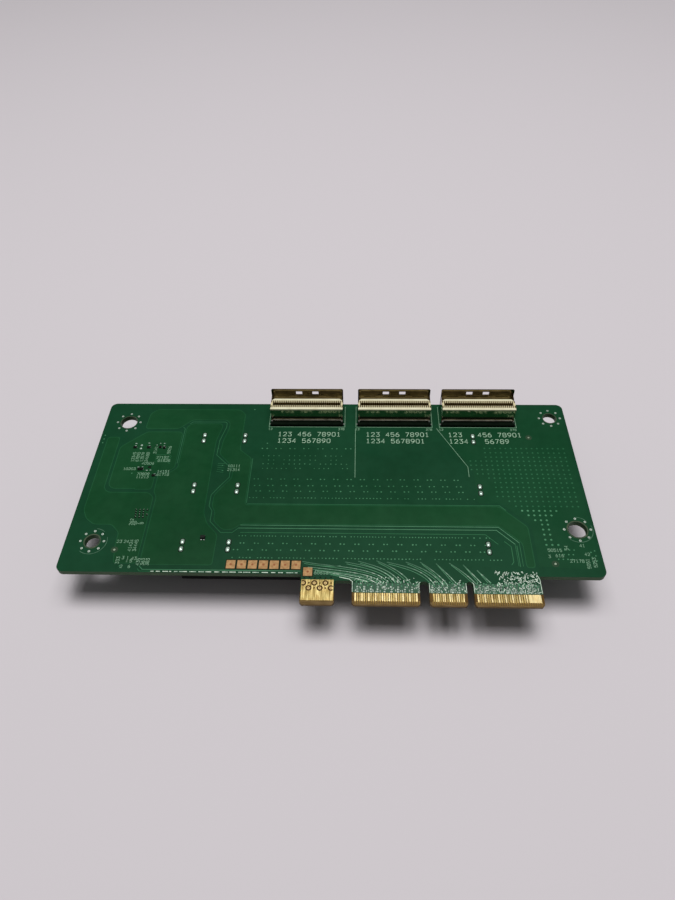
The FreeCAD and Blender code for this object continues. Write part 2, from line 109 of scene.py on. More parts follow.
class Recipe:
    """Builds one procedural material, node by node."""

    def __init__(self, name, roughness=0.5, metallic=0.0, gloss=0.5):
        self.material = bpy.data.materials.new(name)
        self.material.use_nodes = True
        self.tree = self.material.node_tree
        self.inputs = self.tree.nodes["Principled BSDF"].inputs
        self.feed(self.inputs["Roughness"], roughness)
        self.feed(self.inputs["Metallic"], metallic)
        self.feed(self.inputs["Specular IOR Level"], gloss)
        self.coords = self.add("ShaderNodeTexCoord", "Object")

    def feed(self, socket, value):
        """Gives a socket another node's output, a screen colour or a number."""
        if isinstance(value, bpy.types.NodeSocket):
            self.tree.links.new(value, socket)
        else:
            socket.default_value = srgb(*value) if isinstance(value, tuple) else value

    def add(self, kind, output, sources=None, **settings):
        """Adds a node, feeds its inputs from sources, and returns one of its outputs."""
        node = self.tree.nodes.new(kind)
        for key, value in settings.items():
            setattr(node, key, value)
        for key, value in (sources or {}).items():
            self.feed(node.inputs[key], value)
        return node.outputs[output]

    def stretched(self, *scale):
        """The object's coordinates, scaled along each axis."""
        sources = {"Vector": self.coords, "Scale": Vector(scale)}
        return self.add("ShaderNodeMapping", "Vector", sources)

    def axis(self, name, vector=None):
        return self.add("ShaderNodeSeparateXYZ", name, {"Vector": vector or self.coords})

    def noise(self, size_mm, detail=3.0, vector=None):
        sources = {"Vector": vector or self.coords, "Scale": 1 / (size_mm * MM), "Detail": detail}
        return self.add("ShaderNodeTexNoise", "Fac", sources)

    def ramp(self, value, *stops):
        """Maps a value through colours, each given as (position, colour)."""
        node = self.tree.nodes.new("ShaderNodeValToRGB")
        elements = node.color_ramp.elements
        for element, (position, color) in zip(elements, (stops[0], stops[-1])):
            element.position, element.color = position, srgb(*color)
        for position, color in stops[1:-1]:
            elements.new(position).color = srgb(*color)
        self.feed(node.inputs["Fac"], value)
        return node.outputs["Color"]

    def shades(self, value, dark, light):
        """Two colours over the middle of a noise's range."""
        return self.ramp(value, (0.3, dark), (0.7, light))

    def mix(self, factor, first, second, blend="MIX"):
        sources = {"Factor": factor, "A": first, "B": second}
        return self.add("ShaderNodeMix", "Result", sources, data_type="RGBA", blend_type=blend)

    def math(self, operation, *values):
        return self.add("ShaderNodeMath", "Value", dict(enumerate(values)), operation=operation)

    def spread(self, value, low, high):
        """The middle of a noise's range, spread between two numbers."""
        sources = {"Value": value, "From Min": 0.3, "From Max": 0.7, "To Min": low, "To Max": high}
        return self.add("ShaderNodeMapRange", "Result", sources)

    def bump(self, height, depth_mm, strength=0.6):
        sources = {"Height": height, "Distance": depth_mm * MM, "Strength": strength}
        self.feed(self.inputs["Normal"], self.add("ShaderNodeBump", "Normal", sources))

    def color(self, value):
        self.feed(self.inputs["Base Color"], value)

    def roughness(self, value):
        self.feed(self.inputs["Roughness"], value)


def mottled(name, dark, light, size_mm, rough, metallic=0.0, grain_mm=0.15, depth_mm=0.01,
            gloss=0.5):
    """A colour that drifts between two shades, and a fine grain in the surface."""
    recipe = Recipe(name, metallic=metallic, gloss=gloss)
    recipe.color(recipe.shades(recipe.noise(size_mm), dark, light))
    recipe.roughness(recipe.spread(recipe.noise(size_mm / 3), *rough))
    recipe.bump(recipe.noise(grain_mm, detail=2.0), depth_mm)
    return recipe.material


def solder_mask(name, deep, pale, sheen=0.4):
    """Green lacquer over glass cloth: soft gloss, slow colour drift, the weave just felt."""
    recipe = Recipe(name, gloss=0.07)
    slow = recipe.math("MULTIPLY", recipe.noise(34.0, detail=4.0), 0.7)
    fine = recipe.math("MULTIPLY", recipe.noise(2.4), 0.3)
    green = recipe.ramp(recipe.math("ADD", slow, fine), (0.36, deep), (0.64, pale))
    threads = [recipe.math("SINE", recipe.math("MULTIPLY", recipe.axis(axis), weave_turns))
               for axis in "XY"]
    weave = recipe.math("MULTIPLY", recipe.math("MULTIPLY", *threads), 0.12)
    recipe.roughness(recipe.spread(recipe.noise(9.0), sheen - 0.05, sheen + 0.08))
    recipe.bump(recipe.math("ADD", weave, recipe.noise(0.35)), 0.008, 0.5)
    return recipe, green


def board_material():
    """Mask on the two faces, bare glass fibre on the sides and all round the gold tip."""
    recipe, green = solder_mask("board_mask", (9, 55, 31), (16, 64, 39))
    fibre = recipe.noise(0.9, detail=4.0, vector=recipe.stretched(0.4, 0.4, 6.0))
    side = recipe.shades(fibre, (58, 82, 58), (82, 102, 76))
    tip = recipe.shades(fibre, (96, 76, 44), (128, 106, 72))
    gaps = recipe.shades(fibre, (74, 52, 14), (98, 72, 26))
    normal = recipe.add("ShaderNodeNewGeometry", "Normal")
    upright = recipe.math("ABSOLUTE", recipe.axis("Z", normal))
    flat = recipe.math("GREATER_THAN", upright, 0.97)
    mask_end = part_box("edge_contacts_top")[1].y + 0.15 * MM
    behind = recipe.math("GREATER_THAN", recipe.axis("Y"), mask_end)
    substrate = recipe.mix(behind, recipe.mix(flat, tip, gaps), side)
    recipe.color(recipe.mix(recipe.math("MULTIPLY", flat, behind), substrate, green))
    return recipe.material


def mask_over_copper(name, deep, pale, sheen=0.36):
    recipe, green = solder_mask("mask_over_" + name, deep, pale, sheen)
    recipe.color(green)
    return recipe.material


def gold_plating(name, every_third=False):
    """Hard gold with faint wiping streaks along Y and slight tarnish."""
    recipe = Recipe(name, metallic=0.85)
    streaks = recipe.noise(0.35, detail=4.0, vector=recipe.stretched(1.0, 0.07, 1.0))
    base = recipe.ramp(streaks, (0.3, (98, 84, 42)), (0.5, (137, 120, 70)),
                       (0.7, (202, 186, 128)))
    if every_third:
        # each third finger and the joined block are brighter: painted highlight
        low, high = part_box("edge_contacts_top")
        turns = full_turn / (3 * finger_pitch * MM)
        place = recipe.math("SUBTRACT", recipe.axis("X"), low.x + half_finger * MM)
        wave = recipe.math("COSINE", recipe.math("MULTIPLY", place, turns))
        highlit = recipe.mix(0.34, base, (244, 230, 180))
        base = recipe.mix(recipe.math("GREATER_THAN", wave, 0.5), base, highlit)
        joined = recipe.math("GREATER_THAN", recipe.axis("X"), high.x - 3.2 * MM)
        base = recipe.mix(joined, base, highlit)
    tarnish = recipe.noise(1.6, detail=4.0)
    stained = recipe.ramp(tarnish, (0.35, (224, 188, 142)), (0.6, (252, 252, 255)))
    recipe.color(recipe.mix(0.35, base, stained, "MULTIPLY"))
    recipe.roughness(recipe.spread(streaks, 0.3, 0.48))
    recipe.bump(streaks, 0.012, 0.5)
    return recipe.material


# ---- building pieces
def add_object(name, data):
    added = bpy.data.objects.new(name, data)
    bpy.context.scene.collection.objects.link(added)
    return added


class Piece:
    """Gathers closed forms in board millimetres and makes one object of them."""

    def __init__(self):
        self.verts = []
        self.faces = []

    def ring_stack(self, rings):
        """A closed form through rings of equally many points, capped at both ends."""
        start, count = len(self.verts), len(rings[0])
        for ring in rings:
            self.verts += ring
        for base in range(start, len(self.verts) - count, count):
            for n in range(count):
                after = (n + 1) % count
                self.faces.append((base + n, base + after, base + count + after, base + count + n))
        self.faces.append(tuple(range(start, start + count))[::-1])
        self.faces.append(tuple(range(len(self.verts) - count, len(self.verts))))

    def prism(self, outline, top, low=0.0):
        """An outline of (x, y) points drawn up."""
        outline = counter_clockwise(outline)
        self.ring_stack([[(x, y, z) for x, y in outline] for z in (low, top)])

    def profile_x(self, outline, x0, x1):
        """An outline of (y, z) points drawn out along x."""
        outline = counter_clockwise(outline)
        self.ring_stack([[(x, y, z) for y, z in outline] for x in (x0, x1)])

    def box(self, x, y, z, bevel=0.0):
        """A block between two values of each axis, with all its edges cut by the bevel."""
        low, top = z
        if not bevel:
            self.prism(cropped_rectangle(x, y, 0.0), top, low)
            return
        levels = ((low, bevel), (low + bevel, 0.0), (top - bevel, 0.0), (top, bevel))
        self.ring_stack([[(*point, height) for point in cropped_rectangle(x, y, bevel, draw)]
                         for height, draw in levels])

    def disc(self, x, y, radius, top, sides=12, crown=0.0, low=0.0):
        """A round pad; crown is how much narrower its top is."""
        self.ring_stack([[(*point, z) for point in circle(x, y, reach, sides)]
                         for reach, z in ((radius, low), (radius - crown, top))])

    def washer(self, x, y, outer, inner, top, sides=16, first=0.0, turn=full_turn, low=0.0):
        """A flat ring, or the part of one from the angle first through turn."""
        whole = turn == full_turn
        count = sides if whole else sides + 1
        start = len(self.verts)
        for n in range(count):
            angle = first + turn * n / sides
            for radius, z in ((outer, low), (outer, top), (inner, top), (inner, low)):
                self.verts.append((x + radius * math.cos(angle), y + radius * math.sin(angle), z))
        for n in range(sides):
            a, b = start + 4 * n, start + 4 * ((n + 1) % count)
            for k in range(4):
                self.faces.append((a + k, b + k, b + (k + 1) % 4, a + (k + 1) % 4))
        if not whole:
            end = start + 4 * sides
            self.faces.append((start, start + 1, start + 2, start + 3))
            self.faces.append((end + 3, end + 2, end + 1, end))

    def ribbon(self, path, width, top, slope=0.0, low=0.0):
        """A flat strip along a path of (x, y) points, mitred at its bends."""
        half = width / 2
        edges = [(offset_path(path, side), z) for side, z in (
            (half, low), (-half, low), (slope - half, top), (half - slope, top))]
        self.ring_stack([[(*edge[n], z) for edge, z in edges] for n in range(len(path))])

    def make(self, name, material, slot="board", replaced=(), smooth=False):
        mesh = bpy.data.meshes.new(name)
        mesh.from_pydata([spot(*vert) for vert in self.verts], [], self.faces)
        mesh.update()
        tool = bmesh.new()
        tool.from_mesh(mesh)
        bmesh.ops.recalc_face_normals(tool, faces=tool.faces)
        tool.to_mesh(mesh)
        tool.free()
        mesh.materials.append(material)
        if smooth:
            mesh.polygons.foreach_set("use_smooth", [True] * len(mesh.polygons))
            mesh.set_sharp_from_angle(angle=math.radians(40))
        piece = add_object(name, mesh)
        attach(piece, "root")
        if replaced:
            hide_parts(*replaced)


def counter_clockwise(outline):
    area = sum(x0 * y1 - x1 * y0
               for (x0, y0), (x1, y1) in zip(outline, outline[1:] + outline[:1]))
    return outline[::-1] if area < 0 else outline


def circle(x, y, radius, sides):
    return [(x + radius * math.cos(full_turn * n / sides),
             y + radius * math.sin(full_turn * n / sides)) for n in range(sides)]


def around(middle, half):
    return middle - half, middle + half


def cropped_rectangle(x, y, crop, draw=0.0):
    """A rectangle with cut corners, drawn in on all sides."""
    x0, x1, y0, y1 = x[0] + draw, x[1] - draw, y[0] + draw, y[1] - draw
    if not crop:
        return [(x0, y0), (x1, y0), (x1, y1), (x0, y1)]
    return [(x0 + crop, y0), (x1 - crop, y0), (x1, y0 + crop), (x1, y1 - crop),
            (x1 - crop, y1), (x0 + crop, y1), (x0, y1 - crop), (x0, y0 + crop)]


def offset_path(path, distance):
    """The path moved sideways to its left, with mitred corners."""
    moved = []
    for n, point in enumerate(path):
        before = path[max(n - 1, 0)]
        after = path[min(n + 1, len(path) - 1)]
        start = Vector(point) - Vector(before)
        end = Vector(after) - Vector(point)
        start = start.normalized() if start.length > 1e-9 else end.normalized()
        end = end.normalized() if end.length > 1e-9 else start
        normal = Vector((-start.y - end.y, start.x + end.x)).normalized()
        mitre = max(0.5, normal.dot(Vector((-start.y, start.x))))
        moved.append(tuple(Vector(point) + normal * (distance / mitre)))
    return moved


def rounded(outline, radius, steps=4):
    """An outline with each corner turned into a short arc."""
    result = []
    count = len(outline)
    for n, point in enumerate(outline):
        corner = Vector(point)
        back = Vector(outline[n - 1]) - corner
        ahead = Vector(outline[(n + 1) % count]) - corner
        reach = min(radius, back.length * 0.45, ahead.length * 0.45)
        start, end = corner + back.normalized() * reach, corner + ahead.normalized() * reach
        for step in range(steps + 1):
            t = step / steps
            mixed = start * (1 - t) ** 2 + corner * 2 * t * (1 - t) + end * t ** 2
            result.append(tuple(mixed))
    return result


def way_round(x, y, radius, edge):
    """In from an outline's right edge, round a hole, and back out beside the way in."""
    slit = 0.04
    first = math.asin(slit / radius)
    steps = 28
    arc = []
    for n in range(steps + 1):
        angle = first + (full_turn - 2 * first) * n / steps
        arc.append((x + radius * math.cos(angle), y + radius * math.sin(angle)))
    return [(edge, y + slit)] + arc + [(edge, y - slit)]


def softened_square(half_x, half_y, sides=20):
    """Points round a form between an ellipse and a rectangle."""
    points = []
    for n in range(sides):
        angle = full_turn * n / sides
        cosine, sine = math.cos(angle), math.sin(angle)
        points.append((half_x * math.copysign(abs(cosine) ** 0.72, cosine),
                       half_y * math.copysign(abs(sine) ** 0.72, sine)))
    return points


def sweep(x0, y0, x1, y1, steps=14):
    """A run that leaves level and turns down; the longer it is, the later it turns."""
    bend = min(1.0, max(0.0, (x1 - x0 - 4.0) / 11.0))
    straight = [(x0 + (x1 - x0) * k / 3, y0 + (y1 - y0) * k / 3) for k in range(4)]
    bent = [straight[0], (x0 + 0.5 * (x1 - x0), y0 - 1.1), (x1 - 0.13 * (x1 - x0), y0 - 1.9),
            straight[3]]
    hull = [(a[0] + (b[0] - a[0]) * bend, a[1] + (b[1] - a[1]) * bend)
            for a, b in zip(straight, bent)]
    path = []
    for n in range(steps + 1):
        t = n / steps
        weights = ((1 - t) ** 3, 3 * t * (1 - t) ** 2, 3 * t * t * (1 - t), t ** 3)
        path.append(tuple(sum(w * point[k] for w, point in zip(weights, hull)) for k in (0, 1)))
    return path


def steps(first, last, step):
    """Places from first on, a step apart and short of last."""
    while first < last:
        yield first
        first += step


def strew(piece, seeded, across, along, count, scale=1.0):
    """Short painted glints at all angles, mostly upright."""
    for _ in range(count):
        x, y = seeded.uniform(*across), seeded.uniform(*along)
        angle = math.radians(seeded.gauss(90, 45))
        half = scale * seeded.uniform(0.12, 0.4)
        over, up = half * math.cos(angle), half * math.sin(angle)
        width = scale * seeded.uniform(0.12, 0.2)
        piece.ribbon([(x - over, y - up), (x + over, y + up)], width, via_top)


# ---- numbers in board ink
strokes = {
    "0": (((0, .2), (.15, 0), (.45, 0), (.6, .2), (.6, .8), (.45, 1), (.15, 1), (0, .8),
           (0, .2)),),
    "1": (((.1, .8), (.3, 1), (.3, 0)), ((.1, 0), (.5, 0))),
    "2": (((0, .8), (.15, 1), (.45, 1), (.6, .8), (.6, .62), (0, .02), (.6, .02)),),
    "3": (((0, 1), (.6, 1), (.28, .6), (.45, .6), (.6, .42), (.6, .18), (.45, 0), (.15, 0),
           (0, .18)),),
    "4": (((.45, 0), (.45, 1), (0, .3), (.6, .3)),),
    "5": (((.6, 1), (.05, 1), (0, .55), (.15, .62), (.45, .62), (.6, .45), (.6, .18), (.45, 0),
           (.15, 0), (0, .15)),),
    "6": (((.5, 1), (.2, .85), (0, .5), (0, .18), (.15, 0), (.45, 0), (.6, .18), (.6, .4),
           (.45, .57), (.15, .57), (0, .4)),),
    "7": (((0, 1), (.6, 1), (.2, 0)),),
    "8": (((.15, .53), (0, .7), (0, .85), (.15, 1), (.45, 1), (.6, .85), (.6, .7), (.45, .53),
           (.15, .53), (0, .38), (0, .15), (.15, 0), (.45, 0), (.6, .15), (.6, .38), (.45, .53)),),
    "9": (((.1, 0), (.4, .15), (.6, .5), (.6, .82), (.45, 1), (.15, 1), (0, .82), (0, .6),
           (.15, .43), (.45, .43), (.6, .6)),),
}


def write_numbers(piece, text, x, y, height, pitch, line, turned=False):
    """Plain digits drawn with a round-free pen; turned writes them up the board."""
    for place, mark in enumerate(text):
        for stroke in strokes.get(mark, ()):
            points = []
            for across, up in stroke:
                along, over = place * pitch + across * height, up * height
                points.append((x - over, y + along) if turned else (x + along, y + over))
            piece.ribbon(points, line, ink_top)


# ---- shared finishes
def glinting_mask(name, deep, middle, fades_back=False):
    """Mask over narrow copper, with painted glints where its rounded edges catch the light."""
    recipe = Recipe(name, roughness=0.3)
    green = recipe.ramp(recipe.noise(0.8), (0.36, deep), (0.54, middle), (0.7, (212, 226, 208)))
    if fades_back:
        # the painted glints fade out away from the gold edge
        back = recipe.math("SUBTRACT", recipe.axis("Y"), spot(0, -30.5).y)
        share = recipe.math("MULTIPLY", back, 1 / (4.5 * MM))
        plain = recipe.ramp(share, (0.0, (0, 0, 0)), (1.0, (255, 255, 255)))
        green = recipe.mix(plain, green, (50, 104, 72))
    recipe.color(green)
    recipe.bump(recipe.noise(0.3), 0.01, 0.4)
    return recipe.material


green_plane = mask_over_copper("planes", (10, 58, 29), (20, 69, 38))
# traces and fine traces: mask over copper, made lighter still with painted highlight along their
# rounded edges
green_trace = mask_over_copper("traces", (38, 92, 60), (56, 112, 76), 0.3)
green_line = mask_over_copper("fine_traces", (66, 124, 88), (98, 152, 116), 0.3)
green_via = mask_over_copper("vias", (46, 102, 68), (86, 142, 106), 0.3)
green_end_plane = mask_over_copper("end_plane", (11, 58, 32), (19, 67, 40))
# plane_edges: painted highlight along the planes' edges
plane_edge = mask_over_copper("plane_edges", (21, 71, 41), (34, 86, 53), 0.3)
neck_mask = mask_over_copper("necks", (40, 70, 54), (66, 94, 76), 0.3)
faint_via = mask_over_copper("grid_vias", (32, 84, 54), (48, 102, 70), 0.3)
# green_glint and pale_glint: mask colours with painted glints and highlights
green_glint = glinting_mask("glinting_mask", (80, 130, 98), (134, 174, 146),
                            fades_back=True)
pale_glint = glinting_mask("pale_glinting_mask", (138, 166, 146), (198, 214, 196))
tin = mottled("tinned_vias", (164, 182, 168), (216, 230, 216), 0.6, (0.18, 0.36),
              metallic=0.5)
bright_solder = mottled("bright_solder", (140, 166, 150), (212, 238, 220), 0.8,
                        (0.14, 0.3), metallic=0.5, grain_mm=0.3, depth_mm=0.03)
# deep_shade: painted shade for the dark inside of holes, round the solder and among the small
# parts
deep_shade = mottled("deep_shade", (6, 18, 9), (12, 26, 15), 0.5, (0.6, 0.8), gloss=0.1)
ink = mottled("board_ink", (130, 168, 140), (168, 196, 168), 0.8, (0.55, 0.75),
              grain_mm=0.08)
faint_ink = mottled("faint_board_ink", (92, 138, 106), (126, 164, 134), 0.6,
                    (0.5, 0.7), grain_mm=0.08)
worn_ink = mottled("worn_board_ink", (42, 90, 62), (74, 118, 90), 1.5, (0.5, 0.7),
                   grain_mm=0.08)
gold = gold_plating("gold_plating")
finger_gold = gold_plating("finger_gold", every_third=True)
# ring_brown: painted shadow, the dark rings round the power tab's vias
ring_brown = mottled("ring_shadow", (58, 38, 6), (88, 62, 16), 0.4, (0.45, 0.6), gloss=0.1)
# shaded_gold: painted shade in the wells of the power tab's vias
shaded_gold = mottled("shaded_gold", (150, 122, 68), (188, 162, 104), 0.4, (0.3, 0.45),
                      metallic=0.4)
# hole_shade: painted shade in the centres of holes and in the combs' last slits
hole_shade = mottled("hole_shade", (54, 38, 8), (80, 60, 18), 0.3, (0.5, 0.65), gloss=0.1)
# bare_gap_shade: bare board round the pads, darkened with painted shade
bare_gap_shade = mottled("bare_gap_shade", (14, 26, 8), (28, 38, 16), 0.5, (0.5, 0.7), gloss=0.1)
red_copper = mottled("red_copper", (128, 74, 36), (156, 96, 56), 0.4, (0.45, 0.6), gloss=0.2)
# lip_highlight: painted highlight on the shells' lips
lip_highlight = mottled("lip_highlight", (140, 140, 128), (206, 206, 190), 2.5, (0.3, 0.45), metallic=0.3)
# black_body_and_shadow: the chips' dark bodies and their painted shadows
black_body_and_shadow = mottled("black_body_and_shadow", (6, 10, 6), (16, 20, 14), 0.3, (0.25, 0.4), gloss=0.12)


# ---- copper under the mask
plane_outlines = (
    [  # along the back and the right
        (-61.2, 24.4), (-60.9, 31), (-58.9, 33), (-31.2, 33), (-29.2, 31), (-29.2, 15.4),
        (-25.2, 11.9), (-25.2, -6.1), (49.2, -6.1), (56.3, -13.1), (56.3, -26.4), (54, -26.4),
        (54, -18.6), (48.2, -12.8), (-25.4, -12.8), (-27.8, -14.9), (-30.6, -14.9),
        (-33.6, -11.9), (-33.6, -8.6), (-34.8, -6.8), (-34.8, -2.6), (-32.6, 0.9), (-30.4, 3.9),
        (-30.4, 8.2), (-35.4, 13.6), (-35, 19.3), (-33.8, 24.5), (-33.8, 27),
        (-35.1, 28.3), (-46.3, 28.3), (-50.3, 24.4),
    ],
    [  # island
        (-60.3, 22.9), (-49.5, 22.9), (-48.7, 22.1), (-48.7, 8), (-50, 6.7), (-54.2, 6.7),
        (-54.2, -0.6), (-59.1, -0.6), (-59.4, -0.3), (-66.2, -0.3), (-67.6, 1.1), (-67.6, 16.3),
    ],
    [  # round the island
        (-72.6, 20.5), (-68.7, 20.5), (-68.7, -0.3), (-67.1, -1.8), (-54.8, -1.8), (-53, -3.4),
        (-53, -26.3), (-59.4, -26.3), (-60.3, -20.5), (-60.3, -16.2), (-63, -13.4),
        (-68.4, -13.4), (-71.2, -11.2), (-72.6, -8.2),
    ],
    [  # between
        (-46.2, 26.6), (-36.6, 26.6), (-36, 25.4), (-37.3, 19.4), (-37.3, 12.6), (-36.9, -9.2),
        (-35.4, -12.9), (-31.9, -16.6), (-31.9, -26.6), (-50.3, -26.6), (-52.1, -25),
        (-52.1, -3.2), (-53.2, -1.6), (-53.2, 5.8), (-50, 5.8), (-47.7, 7.8), (-47.7, 25.2),
    ],
)


def copper_planes():
    """Areas of copper, a hair higher and paler than the bare board between them."""
    piece, edges = Piece(), Piece()
    for outline in plane_outlines:
        outline = rounded(outline, 1)
        piece.prism(outline, plane_top)
        # a lighter line along each plane's edge: painted highlight
        edges.ribbon(outline + outline[:1], 0.22, plane_top + 0.006)
    right_edge = 74.0
    behind_the_grid = rounded([
        (57.4, -26.9), (57.4, -12.6), (49.8, -5), (43.2, -5), (43.2, 7.4), (42, 9.6),
        (33.6, 25), (34.6, 33.4), (right_edge, 33.4)], 0.9)
    for x, y, radius, _ in (mounting_holes[3], mounting_holes[1]):
        behind_the_grid += way_round(x, y, radius + 0.45, right_edge)
    behind_the_grid.append((right_edge, -26.9))
    piece.make("copper_planes", green_plane)
    end_plane = Piece()
    end_plane.prism(behind_the_grid, plane_top * 0.5)
    end_plane.make("copper_end_plane", green_end_plane)
    edges.make("copper_plane_edges", plane_edge)


guard_paths = [
    [(-47, 26.5), (-46.1, 27.4), (-35.4, 27.4), (-34.8, 26.8), (-34.8, 25), (-36.2, 19.3),
     (-36.3, 13.2), (-31.2, 8), (-31.2, 4.2), (-33.6, 0.8), (-35.7, -2.5), (-35.7, -6.6),
     (-34.6, -8.3), (-34.6, -12.1), (-31, -15.9), (-27.7, -15.9), (-26.1, -14.3)],
    [(-25.4, -15.8), (44, -15.8), (47.2, -19)],
    [(49, -18), (50.7, -19.7), (50.7, -24.6), (50, -25.6)], [(52.3, -19.4), (52.3, -26.2)],
    [(-24.6, -5.7), (49.3, -5.7), (51, -7.4)], [(-24.8, 11.8), (-24.8, -5.4)],
]


def copper_traces():
    """The long traces that run between the slots' rows."""
    piece, fine, highlights = Piece(), Piece(), Piece()
    guard = 0.2
    for path in guard_paths:
        piece.ribbon(path, guard, trace_top, slope=0.04)
    for path in ([(-25.6, -13.25), (48, -13.25), (53.1, -18.4)],
                 [(-26.1, -14.3), (47.3, -14.3), (51.9, -18.9)]):
        fine.ribbon(path, 0.17, trace_top, slope=0.04)
        piece.ribbon([path[-1], (path[-1][0], -26)], 0.14, trace_top, slope=0.04)
    # two guard traces along the front edge, the outer one drawn as a painted highlight in dashes
    # broken by small gaps
    fine.ribbon([(-52, -27.1), (-50.9, -28.2), (-7.4, -28.2)], 0.17, trace_top, slope=0.04)
    piece.ribbon([(-52.3, -28), (-51.6, -28.75), (-48.5, -28.75)], guard, trace_top, slope=0.05)
    seeded = random.Random(3)
    x, y, last = -48.5, -28.75, -7.4
    while x < last - 0.6:
        length = seeded.uniform(0.5, 2.2)
        highlights.ribbon([(x, y), (min(x + length, last), y)], 0.26, trace_top, slope=0.05)
        x += length + seeded.uniform(0.3, 0.9)
    # the short parallel runs left of the small parts
    for n in range(5):
        y = 13.2 - n * 0.75
        piece.ribbon([(-55.4, y), (-51.3, y), (-50.5, y - 0.8)], 0.13, trace_top)
    piece.ribbon([(-48.9, 25), (-48.2, 24.3), (-48.2, 9.6)], 0.16, trace_top)
    for n in range(5):
        y = 9.7 - n * 0.8
        piece.ribbon([(-35.4, y), (-33.2, y - 0.1 * n)], 0.13, trace_top)
    piece.make("copper_traces", green_trace)
    fine.make("copper_fine_traces", green_line)
    highlights.make("highlight_traces", pale_glint)


# where each trace leaves the vias, and where it ends above the fingers
sweeps = (
    (-2.6, -25.9, 16.4, -31.5), (4.7, -25.2, 18.2, -31.4), (8.3, -24.9, 19.7, -31.6),
    (13.3, -24.7, 22.4, -31.6), (16.1, -25.1, 28.6, -31.9), (21.3, -25, 30.8, -31.8),
    (25.2, -25, 32.1, -31.9), (29.5, -25.4, 34.6, -31.6), (33.1, -25.2, 39.6, -31.4),
    (36.8, -25.7, 41.1, -31.2), (40.4, -27.4, 43.7, -31.2), (-5.4, -26.9, 14.9, -31.6),
    (-3.4, -27.9, 13, -31.5), (0.4, -28.6, 11, -31.3), (-7, -25.2, 3.5, -26.4),
)


def fan_out():
    """Traces that sweep from the last row of vias down to the gold fingers."""
    piece, bright = Piece(), Piece()
    for x0, y0, x1, y1 in sweeps:
        # the main traces carry painted glints, brighter towards the gold edge
        bright.ribbon(sweep(x0, y0, x1, y1), 0.25, trace_top + 0.02, slope=0.05)
        twin = sweep(x0 + 0.45, y0 - 0.6, x1 - 0.75, y1)
        piece.ribbon(twin, 0.16, trace_top + 0.01, slope=0.03)
    piece.make("fan_out_traces", green_line)
    bright.make("fan_out_glinting_traces", green_glint)


# painted highlight along the mask's rim at the necks' corners
neck_rim_highlights = (
    ((6.75, -34.3), (6.75, -31.2), (5.9, -30.5), (3.2, -29.9)),
    ((24.5, -34.3), (24.5, -31.6), (24.9, -31.1)), ((27.3, -34.3), (27.3, -31.5)),
    ((37, -34.3), (37, -31.4)), ((39.1, -34.3), (39.1, -31.6), (38.6, -31)),
    ((56.8, -34.3), (56.8, -30), (56.2, -28.4)),
)


def finger_escape():
    """What crowds the necks above the fingers: trace ends, small vias and painted glints."""
    plates, lines, holes, glints = Piece(), Piece(), Piece(), Piece()
    seeded = random.Random(11)
    foot = local_box("edge_contacts_top")[1].y
    for across in ((7.1, 24.3), (27.6, 36.7), (39.4, 56.5)):
        plates.box(across, (foot + 0.1, -31.6), (0, plane_top))
    plates.make("finger_neck_planes", neck_mask)
    # the joined block's last places have no traces of their own
    for n, x in finger_places(81):
        top = -31.3 - (n % 3) * 0.5 + seeded.uniform(-0.2, 0.2)
        lean = seeded.choice((-0.3, 0, 0.3))
        lines.ribbon([(x, foot + 0.05), (x, top - 0.9), (x + lean, top - 0.35)], 0.17,
                     trace_top + 0.01, slope=0.04)
        holes.disc(x + lean, top, 0.24, via_top + 0.015, sides=10, crown=0.06)
        if n % 3 == 1:
            for step in (0.45, 1.15, 1.85):
                across = x + seeded.uniform(-0.08, 0.08)
                glints.disc(across, foot + step, seeded.uniform(0.22, 0.34), via_top, sides=8,
                             crown=0.04)
            continue
        start = foot + seeded.uniform(0.15, 0.5)
        middle = start + seeded.uniform(0.4, 0.8)
        if seeded.random() < 0.5:
            glints.ribbon([(x, start), (x + seeded.uniform(-0.1, 0.1), middle)], 0.24, via_top)
        else:
            glints.ribbon([(x + lean / 2, middle + 0.4), (x, middle + seeded.uniform(0.7, 1.1))],
                           0.24, via_top)
    strew(glints, seeded, (45.2, 56.4), (-34.2, -27.8), 165, 1.35)
    strew(glints, seeded, (39.5, 45.2), (-34.2, -31), 26)
    strew(glints, seeded, (27.5, 36.8), (-34.2, -30.6), 46)
    strew(glints, seeded, (7, 24.2), (-32.2, -29.8), 44)
    for path in neck_rim_highlights:
        glints.ribbon(path, 0.18, via_top)
    lines.make("finger_escape_traces", green_trace)
    holes.make("finger_escape_vias", green_via)
    glints.make("finger_escape_glints", pale_glint)


def finger_places(count):
    """Number and x of the places along the edge, up to a count, that have board under them."""
    low = local_box("edge_contacts_top")[0]
    for n in range(count):
        x = low.x + half_finger + n * finger_pitch
        if any(left < x < right for left, right in ((6.9, 24.4), (27.5, 36.8), (39.2, 56.7))):
            yield n, x


